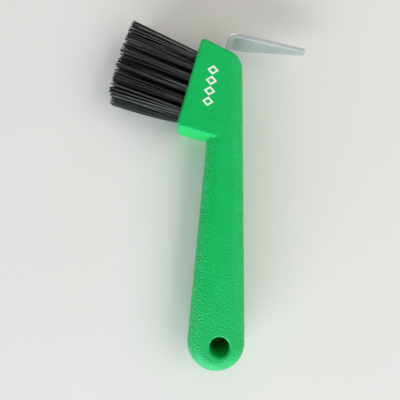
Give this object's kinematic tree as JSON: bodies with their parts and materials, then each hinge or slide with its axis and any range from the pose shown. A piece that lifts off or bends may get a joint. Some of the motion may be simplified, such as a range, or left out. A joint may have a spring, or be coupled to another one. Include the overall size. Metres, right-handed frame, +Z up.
{
  "type": "hoof pick",
  "caption": "Hand tool for cleaning hooves: tapered plastic grip with a hanging hole, a bent flat steel pick at the head and a block of stiff stapled bristles opposite it.",
  "frame": {"origin": "middle of the whole object's box seen from above, at the height of the flat side it lies on", "axes": "+Z is up with the tool lying on its side; +Y runs along the straight back of the handle, from the butt with the hanging hole to the head; the pick points to +X and the bristles to -X"},
  "size_m": [0.1034, 0.1826, 0.02],
  "materials": {
    "green_plastic": "moulded polypropylene with a fine spark-eroded grain",
    "plated_steel": "bright zinc plating with faint rolling lines",
    "black_bristle": "extruded bristle, slightly shiny",
    "anchor_wire": "drawn flat wire"
  },
  "bodies": {
    "root": {"handle": "green_plastic", "pick": "plated_steel", "tuft_lower_1": "black_bristle", "tuft_lower_2": "black_bristle", "tuft_lower_3": "black_bristle", "tuft_lower_4": "black_bristle", "tuft_lower_5": "black_bristle", "tuft_lower_6": "black_bristle", "tuft_middle_1": "black_bristle", "tuft_middle_2": "black_bristle", "tuft_middle_3": "black_bristle", "tuft_middle_4": "black_bristle", "tuft_middle_5": "black_bristle", "tuft_middle_6": "black_bristle", "tuft_upper_1": "black_bristle", "tuft_upper_2": "black_bristle", "tuft_upper_3": "black_bristle", "tuft_upper_4": "black_bristle", "tuft_upper_5": "black_bristle", "tuft_upper_6": "black_bristle", "anchor_lower_1": "anchor_wire", "anchor_lower_2": "anchor_wire", "anchor_lower_3": "anchor_wire", "anchor_lower_4": "anchor_wire", "anchor_lower_5": "anchor_wire", "anchor_lower_6": "anchor_wire", "anchor_middle_1": "anchor_wire", "anchor_middle_2": "anchor_wire", "anchor_middle_3": "anchor_wire", "anchor_middle_4": "anchor_wire", "anchor_middle_5": "anchor_wire", "anchor_middle_6": "anchor_wire", "anchor_upper_1": "anchor_wire", "anchor_upper_2": "anchor_wire", "anchor_upper_3": "anchor_wire", "anchor_upper_4": "anchor_wire", "anchor_upper_5": "anchor_wire", "anchor_upper_6": "anchor_wire"}
  },
  "joints": []
}
